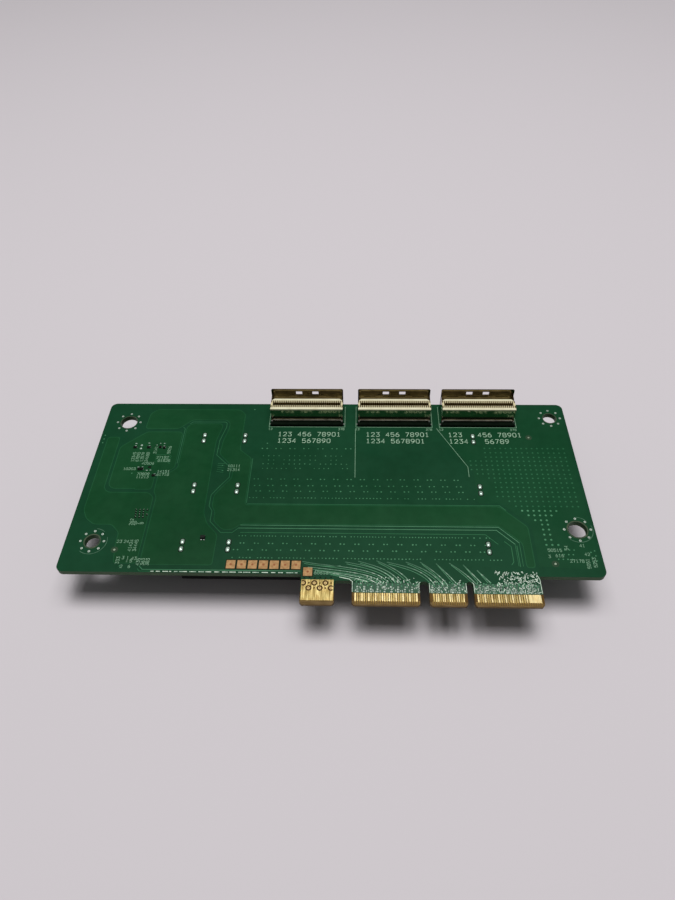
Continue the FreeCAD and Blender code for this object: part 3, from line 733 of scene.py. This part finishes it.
# ---- vias
def signal_vias():
    """The rows of small vias under the card slots' contacts."""
    piece = Piece()
    seeded = random.Random(5)

    def put(x, y, radius=0.24):
        piece.disc(x + seeded.uniform(-0.06, 0.06), y + seeded.uniform(-0.05, 0.05),
                   radius * seeded.uniform(0.85, 1.1), via_top, sides=10, crown=0.05)

    def pairs(y, first, last, gap, group=4.03):
        for x in steps(first, last, group):
            put(x, y)
            put(x + gap, y)

    def dense(y, first, last, pitch, keep):
        for x in steps(first, last, pitch):
            if seeded.random() < keep:
                put(x, y, 0.2)

    pairs(16, -22.2, 6, 1.5, 4.4)
    for y, first, last, pitch in ((13, -21.5, 3.8, 1.62), (11.3, -21.4, 2.2, 1.62),
                                  (9.7, -21.4, 4.6, 1.62), (7.9, -21.3, 5.6, 1.45)):
        dense(y, first, last, pitch, 0.9)
    pairs(3.7, -23.4, 40, 1.15)
    pairs(1.2, -23, 40, 1.4)
    pairs(-0.9, -22.4, 40, 1.2)
    dense(-3.4, -24, 42.6, 1.02, 0.8)
    dense(-16.95, -25.5, 45.5, 0.86, 0.8)
    pairs(-19.4, -24.9, 46, 1)
    pairs(-21.6, -26.5, 46, 1.05)
    dense(-24.1, -26.6, 47.5, 1, 0.75)
    piece.make("signal_vias", green_via)


# height of each row, and how many vias it holds, counted from the right
grid_rows = (
    (16.5, 16), (14.7, 16), (12.9, 16), (11.3, 19), (9.6, 19), (7.9, 19), (6.2, 18), (4.6, 16),
    (2.9, 15), (1.1, 15), (-0.6, 15), (-2.3, 15), (-4, 13), (-5.8, 12),
)
# height, first x and last x of each row of the grid's tail
grid_tail_rows = (
    (-7.4, 55.6, 65.5), (-9, 57.2, 64), (-10.7, 58.8, 62.3), (-12.2, 60.5, 62.3),
    (-13.9, 60.5, 62.3), (-15.6, 60.5, 62.3), (-17.3, 60.5, 62.3), (-19, 60.5, 64),
)


def via_grid():
    """The even grid of vias that fills the right-hand end of the board."""
    piece, tail_piece = Piece(), Piece()
    step_x, last = 1.63, 72.0
    for y, count in grid_rows:
        for n in range(count):
            piece.disc(last - n * step_x, y, 0.3, via_top, crown=0.07)
    for y, first, end in grid_tail_rows:
        for x in steps(first, end, step_x):
            tail_piece.disc(x, y, 0.34, via_top + 0.01, crown=0.08)
    piece.make("via_grid", faint_via)
    tail_piece.make("via_grid_tail", green_via)


def small_vias():
    """Single vias and the little groups of them, and four rows of open ones."""
    piece = Piece()
    places = [(-73.8, 21.3), (-73.8, 19.7), (-73.8, 18.1), (-57.4, -27.2), (-54.9, -27.3),
              (-33.9, 8.9), (-33.6, 6.9), (-20.8, 18.2), (-61.5, 5.6), (-26.4, 33.2)]
    for row in range(3):
        places += [(64.0 + n * 1.25 - row * 0.5, -20.6 - row * 1.5) for n in range(4)]
        places += [(72.2 + (n % 2) * 1.1, -21.3 - row * 1.6 + (n % 2) * 0.5) for n in range(2)]
    for x, y in places:
        piece.disc(x, y, 0.22, via_top, sides=10, crown=0.05)
    piece.make("small_vias", green_via)
    # open holes: a dark disc of painted shade in each, and a painted highlight on its far lip
    wells, lips = Piece(), Piece()
    for row in range(4):
        for n in range(4 - row % 2):
            x, y = -57.0 + n * 1.1 + row * 0.1, -8.3 - row * 0.85
            wells.disc(x, y, 0.3, 0.03)
            lips.box(around(x, 0.1), (y + 0.28, y + 0.35), (0, via_top))
    wells.make("open_via_wells", deep_shade)
    lips.make("open_via_lips", pale_glint)


def eight_rings(piece, x, y, ring, top, low=0):
    """Eight small rings round a mounting hole; returns their places."""
    places = circle(x, y, ring, 8)
    for place in places:
        piece.washer(*place, 0.36, 0.12, top, sides=14, low=low)
    return places


def mounting_hole_rings():
    """Eight tinned vias round each hole, and the printed and bare rims of two of them."""
    vias, wells, rims, printed = Piece(), Piece(), Piece(), Piece()
    for (x, y, radius, ring), rimmed in zip(mounting_holes, (False, True, True, False)):
        for place in eight_rings(vias, x, y, ring, via_top + 0.02):
            # the dark centre of each via is painted shade
            wells.disc(*place, 0.13, 0.012, sides=10)
        outer, inner = (0.42, 0.08) if rimmed else (0.25, 0.06)
        rims.washer(x, y, radius + outer, radius + inner, 0.03, sides=40)
        # the printed ring is broken in two places
        for sides, first, turn in ((34, -130, 150), (10, 50, 35)) if rimmed else ():
            printed.washer(x, y, 4.32, 4.18, ink_top, sides, math.radians(first),
                           math.radians(turn))
    vias.make("mounting_hole_vias", tin, "solder")
    wells.make("mounting_hole_via_wells", deep_shade)
    rim = mottled("hole_rim", (44, 64, 44), (74, 82, 62), 1.4, (0.4, 0.6), gloss=0.15)
    rims.make("mounting_hole_rims", rim)
    printed.make("mounting_hole_marks", worn_ink, None)


def fiducials():
    """Round copper marks with a clear ring of bare board."""
    spots, rings = Piece(), Piece()
    for x, y in ((-60.1, -22), (62, 21.1), (61.85, -25.1)):
        rings.washer(x, y, 1, 0.4, 0.03, sides=24)
        spots.disc(x, y, 0.34, 0.05, sides=18, crown=0.04)
    bare = mottled("bare_board", (34, 62, 42), (50, 72, 50), 0.7, (0.5, 0.7), gloss=0.1)
    rings.make("fiducial_rings", bare)
    dull = mottled("dull_copper", (112, 128, 108), (158, 166, 146), 0.5, (0.35, 0.5),
                   metallic=0.5)
    spots.make("fiducial_marks", dull, "copper")


# ---- printing
# where each text starts, and its digits
large_texts = (
    (-17.6, 21.3, "123 456 78901"), (-17.6, 18.5, "1234 567890"), (10.65, 21.3, "123 456 78901"),
    (10.7, 18.5, "1234 5678901"), (36.85, 21.3, "123"), (46.2, 21.3, "456 78901"),
    (36.95, 18.5, "1234"), (48.2, 18.5, "56789"),
)
small_texts = (
    (-64.5, 6.9, "10203"), (-59.2, 9.1, "40506"), (-59.8, 4.9, "70809"), (-59.8, 3.7, "11213"),
    (-53.7, 5.9, "14151"), (-53.7, 4.7, "61718"), (-55.1, 11.6, "27182"), (-54.4, 10.3, "81828"),
    (-32.1, 8.3, "10111"), (-32.1, 6.8, "21314"), (-60, -19.7, "23"), (-58, -19.7, "24"),
    (-57.3, -25, "3"), (-56, -25.9, "1"), (-56, -25.1, "1"), (-54.6, -25.2, "4"),
    (-54.9, -26, "5"), (-53.8, -25.2, "3"), (-57.2, -27.8, "2"), (-55, -27.8, "6"),
    (-3.6, -29.1, "60616"), (60.6, -21.2, "50515"), (62.4, -22.9, "616"), (66, -24.6, "27178"),
    (60.4, -23.2, "3"), (69.6, -19.6, "41"), (70.4, -22.4, "42"),
)
upright_texts = (
    (-62, 10.3, "12345"), (-60.6, 10.3, "67890"), (-59.2, 10.3, "13579"), (-57.7, 10.3, "24680"),
    (-55.6, 13.6, "3141"), (-51.2, 13.7, "5926"), (-55.4, -22.4, "41424"), (-54, -22.4, "34445"),
    (-57.9, -26.5, "333"), (-52.1, -26.9, "435"), (-50.8, -26.9, "363"), (-49.5, -26.9, "383"),
    (71.2, -26.4, "5051"), (73, -26, "5253"), (66.2, -20.6, "54"), (-57, -13.6, "262"),
    (-56, -13.6, "46"), (-54.9, -13.4, "7"), (-53.9, -13.2, "8"),
)


def printed_legends():
    """Plain digits where a board carries its printed legends."""
    large, small = Piece(), Piece()
    height, pitch, line = 1.7, 1.57, 0.2
    for x, y, text in large_texts:
        write_numbers(large, text, x, y, height, pitch, line)
    large.make("printed_numbers", ink, None)
    height, pitch, line = 0.9, 0.8, 0.13
    for texts, turned in ((small_texts, False), (upright_texts, True)):
        for x, y, text in texts:
            write_numbers(small, text, x, y, height, pitch, line, turned)
    # the first and last contact of each row of a cable connector
    for name in cable_names:
        low, high = local_box(name + "base")
        for text, x in (("12", low.x - 0.6), ("378", high.x - 1.6)):
            write_numbers(small, text, x, low.y - 1.6, 0.8, 0.72, line)
    small.make("printed_small_numbers", faint_ink, None)


def printed_lines():
    """Outlines of the cable connectors and the two lines that lead away from them."""
    piece = Piece()
    pen = 0.15
    for name in cable_names:
        low, high = local_box(name + "base")
        left, right, front = low.x - 0.5, high.x + 0.5, low.y - 0.28
        piece.ribbon([(left, back_edge - 1.2), (left, front), (right, front),
                      (right, back_edge - 1.2)], pen, ink_top)
    piece.ribbon([(7.15, 24.7), (7.15, 4.5)], pen, ink_top)
    piece.ribbon([(33.2, 24.9), (41.65, 8.9), (41.65, 5)], pen, ink_top)
    piece.make("printed_lines", faint_ink, None)


def pad_centres():
    """The reddish spot in the middle of each bare copper pad, and the clearing of bare board round
    it, darkened with painted shade.
    """
    low, high = local_box("copper_pads")
    half_x, half_y, clearing = 1.225, 1.3, 0.26
    centres = [(low.x + half_x + n * 3, high.y - half_y) for n in range(7)]
    centres.append((high.x - half_x, low.y + half_y))
    spots, clearings = Piece(), Piece()
    for x, y in centres:
        spots.disc(x, y, 0.34, high.z + 0.01, low=high.z - 0.01)
        clearings.box(around(x, half_x + clearing), around(y, half_y + clearing), (0, 0.024))
    spots.make("copper_pad_centres", red_copper, "copper")
    clearings.make("copper_pad_clearings", bare_gap_shade)


# ---- solder and small parts
def solder_mounds():
    """Domed solder with the end of a metal leg in it, in a ring of bare board darkened with
    painted shadow.
    """
    seeded = random.Random(23)
    foot, clearing = softened_square(0.58, 0.86), softened_square(0.8, 1.08)
    # height, and share of the foot's size
    dome = ((0, 1), (0.1, 0.98), (0.22, 0.87), (0.32, 0.66), (0.39, 0.34))
    rings = Piece()
    for row in (1, 2, 3):
        mounds = Piece()
        for x, y in mound_places(row):
            lean = seeded.uniform(-0.12, 0.12)
            mounds.ring_stack([[(x + lean * (1 - share) + px * share, y + py * share, height)
                                for px, py in foot] for height, share in dome])
            rings.prism([(x + px, y + py) for px, py in clearing], 0.028)
        node = "slot_%d_solder" % row
        mounds.make(node + "_mounds", bright_solder, "solder", [node], smooth=True)
    rings.make("solder_clearings", deep_shade)


def mound_places(row):
    """The six legs of a slot's board locks: two at each end and two by the key."""
    low, high = local_box("slot_%d_solder" % row)
    middle, half_mound, half_lock, key_x = (low.y + high.y) / 2, 0.55, 1.22, -28.2
    return [(x, y) for x in (low.x + half_mound, key_x, high.x - half_mound)
            for y in around(middle, half_lock)]


# middle, width and depth of each chip
chips = (
    (-62.8, 16.15, 1.15, 0.8), (-58.4, 16.15, 1.15, 0.8), (-54.75, 16.3, 0.8, 0.9),
    (-53.45, 16.05, 0.8, 0.9), (-59.2, 7.25, 1.7, 1), (-54.6, 4.75, 1.1, 0.8),
)
# middle and width of each bare pad
chip_pads = (
    (-62.8, 17.8, 0.8), (-62.8, 16.85, 0.7), (-58.7, 18, 0.8), (-58.4, 16.9, 0.7),
    (-56, 17.2, 0.5), (-55, 17.9, 0.6), (-53.7, 17.9, 0.7), (-53.6, 16.75, 0.7),
    (-60, 8.05, 0.8), (-58.7, 8.15, 0.6), (-57.1, 6.8, 0.7), (-56, 6.9, 0.7),
    (-54.4, 5.35, 0.7),
)


def chip_parts():
    """Small two-ended parts: a dark glazed body, drawn large enough to take in the part's painted
    shadow, beside bright ends and bare pads.
    """
    bodies, ends, pads = Piece(), Piece(), Piece()
    height = local_box("chip_parts")[1].z
    for x, y, wide, deep in chips:
        bodies.box(around(x, wide / 2), around(y, deep / 2), (0.02, height - 0.02), bevel=0.04)
        for side in (-1, 1):
            inner, outer = sorted((x + side * (wide / 2 - 0.05), x + side * (wide / 2 + 0.05)))
            ends.box((inner, outer), around(y, deep / 2 - 0.2), (0.02, 0.1))
    for x, y, wide in chip_pads:
        pads.box(around(x, wide / 2.6), around(y, 0.15), (0, 0.08), bevel=0.03)
    for y in (17.1, 15.7):
        pads.disc(-60.9, y, 0.4, 0.09, sides=16, crown=0.14)
    bodies.make("chip_bodies_and_shadows", black_body_and_shadow, "chip", ["chip_parts"])
    ends.make("chip_ends", tin, "tinned_metal")
    pads.make("tinned_pads", bright_solder, "solder")
    # a dark patch of painted shadow among the small parts
    gap = Piece()
    gap.box((-57, -56), (7.7, 8.5), (0, 0.03), bevel=0.01)
    gap.make("painted_shadow_patch", deep_shade)


def cable_trim():
    """The shells' lips with a painted highlight, and dark marks of painted shade where the last
    slits are at the ends of the cream combs.
    """
    lips, slits = Piece(), Piece()
    for name in cable_names:
        low, high = local_box(name + "base")
        lips.box((low.x + 0.7, high.x - 0.7), (high.y - 0.32, high.y - 0.02),
                 (high.z + 0.15, high.z + 0.36), bevel=0.04)
        for row in ("contacts_front", "contacts_rear"):
            first, last = local_box(name + row)
            middle = (first.y + last.y) / 2
            top = local_box(name + "housing")[1].z
            for x in (first.x + 0.1 - finger_pitch, last.x - 0.1 + finger_pitch):
                slits.box(around(x, 0.15), around(middle, 0.5), around(top, 0.01))
    lips.make("cable_shell_lips", lip_highlight, "dark_shell")
    slits.make("cable_comb_slits", hole_shade, "cream_plastic")


# ---- gold edge
def power_tab_rings():
    """Two staggered rows of ringed vias in the gold of the power tab: dark rings of painted
    shadow, wells dimmed with painted shade and dark dots of painted shade.
    """
    low, high = local_box("power_tab_top")
    rings, wells, dots = Piece(), Piece(), Piece()
    top, foot = high.z, high.z - 0.01
    outer, inner, spacing = 0.85, 0.42, 3.0
    for y, first_x in ((-31.8, -6.45), (-33.3, -4.95)):
        for n in range(3):
            x = first_x + n * spacing
            first, turn = 0, full_turn
            gap = min(x - low.x, high.x - x)
            if gap < outer:
                opening = math.acos(gap / outer)
                first = opening if high.x - x < outer else math.pi + opening
                turn -= 2 * opening
            rings.washer(x, y, outer, inner, top + 0.008, 28, first, turn, foot)
            wells.disc(x, y, inner, top + 0.004, sides=24, low=foot)
            dots.disc(x, y, 0.13, top + 0.012, low=foot)
            if x + 1.9 < high.x:
                dots.disc(x + spacing / 2, y, 0.25, top + 0.01, low=foot)
    rings.make("power_tab_rings", ring_brown, "gold")
    wells.make("power_tab_wells", shaded_gold, "gold")
    dots.make("power_tab_dots", hole_shade, "gold")
    # dark specks of painted shade where vias stand in the mask above the gold
    specks = Piece()
    for n in range(6):
        specks.disc(low.x + 0.7 + n * 1.45, high.y + 0.45 + 0.25 * (n % 2), 0.24, 0.03, sides=10)
    specks.make("power_tab_specks", deep_shade)


def finger_tails():
    """The fingers' plating bars, which run on over the bevel."""
    piece = Piece()
    # a bar's section: how far on from the finger's end, and how far over its face
    section = ((0, -0.1), (0, 0.02), (0.15, 0.02), (0.75, -0.27), (0.75, -0.42))
    for node, surface, side in (("edge_contacts_top", 0, 1),
                                ("edge_contacts_bottom", under, -1)):
        start = local_box(node)[0].y
        bar = [(start - on, surface + side * over) for on, over in section]
        for _, x in finger_places(83):
            piece.profile_x(bar, x - 0.14, x + 0.14)
    bars = mottled("worn_gold", (122, 96, 40), (152, 122, 60), 0.5, (0.35, 0.5), metallic=0.6)
    piece.make("finger_bevel_bars", bars, "gold")


# ---- card slots, underneath
before_key = 11  # contacts of a slot's row on the near side of its key


def slot_contact_x(n):
    """Where contact n of a slot's row stands; the key takes up two places."""
    first = -39.7
    return first + n + (2 if n >= before_key else 0)


def slot_tails():
    """Each contact's soldered foot, spreading out from under its slot to a pad."""
    # a foot's section: how far out from the slot's middle, and how far under the board
    section = ((1.95, 0.5), (1.95, 0.28), (2.3, 0.06), (4.3, 0.06), (4.3, 0.2), (2.45, 0.22),
               (2.2, 0.32), (2.2, 0.5))
    for name, middle in zip(slot_names, slot_rows):
        feet, pads = Piece(), Piece()
        for x in map(slot_contact_x, range(82)):
            for side in (-1, 1):
                foot = [(middle + side * out, under - down) for out, down in section]
                feet.profile_x(foot, x - 0.2, x + 0.2)
                along = sorted((middle + side * 3.4, middle + side * 4.6))
                pads.box(around(x, 0.28), along, (under - 0.06, under))
        feet.make(name + "feet", contact_metal, "contact_metal")
        pads.make(name + "pads", bright_solder, "solder")


def slot_ribs():
    """Thin walls between neighbouring contacts inside a slot's two trenches."""
    for name, middle in zip(slot_names, slot_rows):
        mouth = local_box(name + "housing")[0].z
        piece = Piece()
        for n in range(81):
            if n == before_key - 1:
                continue
            x = slot_contact_x(n) + 0.5
            for side in (-1, 1):
                trench = sorted((middle + side * 0.93, middle + side * 2.27))
                piece.box(around(x, 0.13), trench, (mouth + 0.55, mouth + 5.5))
        piece.make(name + "ribs", slot_plastic, "slot_plastic")


def underside():
    """What else lies on the face under the card: vias, hole rings and the slots' outlines."""
    vias, rings, outlines = Piece(), Piece(), Piece()
    seeded = random.Random(31)
    for name, middle in zip(slot_names, slot_rows):
        low, high = local_box(name + "housing")
        for side in (-1, 1):
            for x in steps(low.x + 3, high.x - 2, 1.55):
                if seeded.random() < 0.8:
                    y = middle + side * (5.9 + seeded.choice((0, 1.1)))
                    vias.disc(x, y, 0.24, under, sides=10, low=under - via_top)
        outline = cropped_rectangle((low.x - 0.6, high.x + 0.6), around(middle, 5.1), 0)
        outlines.ribbon(outline + outline[:1], 0.15, under, low=under - ink_top)
    for x, y, radius, ring in mounting_holes:
        eight_rings(rings, x, y, ring, under, under - via_top)
        rings.washer(x, y, radius + 0.3, radius + 0.06, under, sides=40, low=under - trace_top)
    vias.make("underside_vias", green_via)
    rings.make("underside_hole_rings", tin, "solder")
    outlines.make("underside_slot_outlines", faint_ink, None)


# ---- finishes of the CAD parts
def cream_plastic_material():
    """Warm ivory plastic, with painted shade that turns it brown and then dark down in its mouth.
    """
    recipe = Recipe("cream_plastic", roughness=0.42, gloss=0.35)
    ivory = recipe.shades(recipe.noise(1.8), (208, 202, 170), (222, 218, 188))
    front = local_box("cable_1_contacts_front")[0]
    rear = local_box("cable_1_contacts_rear")[1]
    middle = spot(0, (front.y + rear.y) / 2).y
    away = recipe.math("ABSOLUTE", recipe.math("SUBTRACT", recipe.axis("Y"), middle))
    inside = recipe.math("LESS_THAN", away, 1.52 * MM)
    top = spot(0, 0, local_box("cable_1_housing")[1].z).z
    depth = recipe.math("SUBTRACT", top, recipe.axis("Z"))
    share = recipe.math("MULTIPLY", depth, 1 / (1.1 * MM))
    # painted shade: browner and darker with depth in the mouth
    brown = recipe.ramp(share, (0.02, (208, 196, 156)), (0.16, (172, 148, 96)),
                        (0.5, (150, 122, 68)), (1.0, (130, 102, 52)))
    recipe.color(recipe.mix(inside, ivory, brown))
    recipe.bump(recipe.noise(0.25), 0.01, 0.4)
    return recipe.material


def dark_shell_material():
    """Thin blackened metal with a brown cast and a soft shine."""
    recipe = Recipe("dark_shell", metallic=0.985)
    drift = recipe.noise(2.6, detail=4.0)
    # lighter metal in front of the mouth's rear edge strengthens the front face's painted
    # reflection; the darker metal behind it is painted shade
    front = recipe.shades(drift, (178, 160, 136), (200, 184, 160))
    rear = recipe.shades(drift, (92, 80, 58), (122, 108, 80))
    mouth_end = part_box("cable_1_contacts_rear")[1].y
    behind = recipe.math("GREATER_THAN", recipe.axis("Y"), mouth_end)
    recipe.color(recipe.mix(behind, front, rear))
    brushed = recipe.noise(0.25, vector=recipe.stretched(0.15, 1.0, 1.0))
    recipe.roughness(recipe.spread(brushed, 0.07, 0.15))
    recipe.bump(brushed, 0.006, 0.4)
    return recipe.material


slot_plastic = mottled("slot_plastic", (19, 20, 21), (30, 31, 32), 2.0, (0.38, 0.52),
                       grain_mm=0.2, depth_mm=0.015)
black_plastic = mottled("black_plastic", (5, 14, 7), (12, 24, 13), 1.5, (0.5, 0.65),
                        grain_mm=0.2, depth_mm=0.012, gloss=0.04)
contact_metal = mottled("contact_metal", (190, 158, 98), (232, 208, 150), 0.5,
                        (0.24, 0.38), metallic=1.0)
tinned_metal = mottled("tinned_metal", (170, 174, 172), (206, 209, 206), 0.9,
                       (0.26, 0.4), metallic=0.95)
dull_tin = mottled("dull_tin", (92, 98, 92), (146, 152, 146), 0.6, (0.3, 0.45), metallic=0.6)
copper = mottled("bare_copper", (136, 98, 54), (170, 132, 86), 0.9, (0.4, 0.55),
                 metallic=0.25, grain_mm=0.1, gloss=0.3)
comb_brass = mottled("comb_brass", (84, 62, 26), (132, 104, 54), 0.5, (0.3, 0.45),
                     metallic=0.8)
chip_black = mottled("chip_black", (9, 12, 9), (20, 23, 19), 0.4, (0.35, 0.5), gloss=0.12)


def dress(material, *names):
    """Gives CAD nodes their material."""
    for name in names:
        node = nodes[name]
        node.data.materials.clear()
        node.data.materials.append(material)


def dress_everything():
    dress(board_material(), "circuit_board")
    dress(finger_gold, "edge_contacts_top", "edge_contacts_bottom")
    dress(gold, "power_tab_top", "power_tab_bottom")
    dress(copper, "copper_pads")
    cream, shell = cream_plastic_material(), dark_shell_material()
    for name in slot_names:
        dress(slot_plastic, name + "housing")
        dress(contact_metal, name + "contacts_front", name + "contacts_rear")
        dress(tinned_metal, name + "board_locks")
    for name in cable_names:
        dress(cream, name + "housing")
        dress(comb_brass, name + "contacts_front", name + "contacts_rear")
        dress(shell, name + "shell")
        dress(black_plastic, name + "base")
        dress(dull_tin, name + "hold_downs")
    dress(chip_black, "regulator_body")
    dress(tinned_metal, "regulator_leads")


# ---- build
dress_everything()
copper_planes()
copper_traces()
fan_out()
finger_escape()
signal_vias()
via_grid()
small_vias()
mounting_hole_rings()
fiducials()
printed_legends()
printed_lines()
pad_centres()
solder_mounds()
chip_parts()
cable_trim()
power_tab_rings()
finger_tails()
slot_tails()
slot_ribs()
underside()


# ---- floor, light, camera
def floor():
    lowest = cad_bounds[0][2]
    bpy.ops.mesh.primitive_plane_add(size=8.0, location=(0, 0, lowest - 0.1 * MM))
    plane = bpy.context.object
    plane.name = "floor"
    pale = Recipe("floor_pale", roughness=0.85, gloss=0.2)
    pale.color((206, 200, 204))
    plane.data.materials.append(pale.material)


def lights():
    """A broad lamp overhead, a soft sun from behind it and a dim white world."""
    place = Vector((0.0, 0.12, 0.95))
    panel = bpy.data.lights.new("overhead", "AREA")
    panel.shape, panel.energy = "RECTANGLE", 6.2
    panel.size, panel.size_y = 0.8, 0.5
    overhead = add_object("overhead", panel)
    overhead.location = place
    overhead.rotation_euler = place.to_track_quat("Z", "Y").to_euler()
    sky = bpy.data.lights.new("sky", "SUN")
    sky.energy, sky.angle = 0.95, math.radians(20)
    add_object("sky", sky).rotation_euler.x = math.radians(-12)
    world = bpy.data.worlds.new("studio")
    world.use_nodes = True
    background = world.node_tree.nodes["Background"]
    background.inputs["Color"].default_value = (1.0, 1.0, 1.0, 1.0)
    background.inputs["Strength"].default_value = 0.14
    bpy.context.scene.world = world


def camera():
    """Stands in front of the gold edge, looking down at the card."""
    yaw, pitch, roll = math.radians(-2.864), math.radians(48.935), math.radians(-1.858)
    data = bpy.data.cameras.new("camera")
    data.lens, data.sensor_width = 26.72, 36.0
    data.clip_start = 0.01
    eye = add_object("camera", data)
    eye.matrix_world = (Matrix.Translation(spot(8.47, -122.28, 158.36))
                        @ Matrix.Rotation(-yaw, 4, "Z")
                        @ Matrix.Rotation(math.pi / 2 - pitch, 4, "X")
                        @ Matrix.Rotation(roll, 4, "Z"))
    bpy.context.scene.camera = eye


floor()
lights()
camera()
bpy.context.scene.view_settings.view_transform = "Standard"
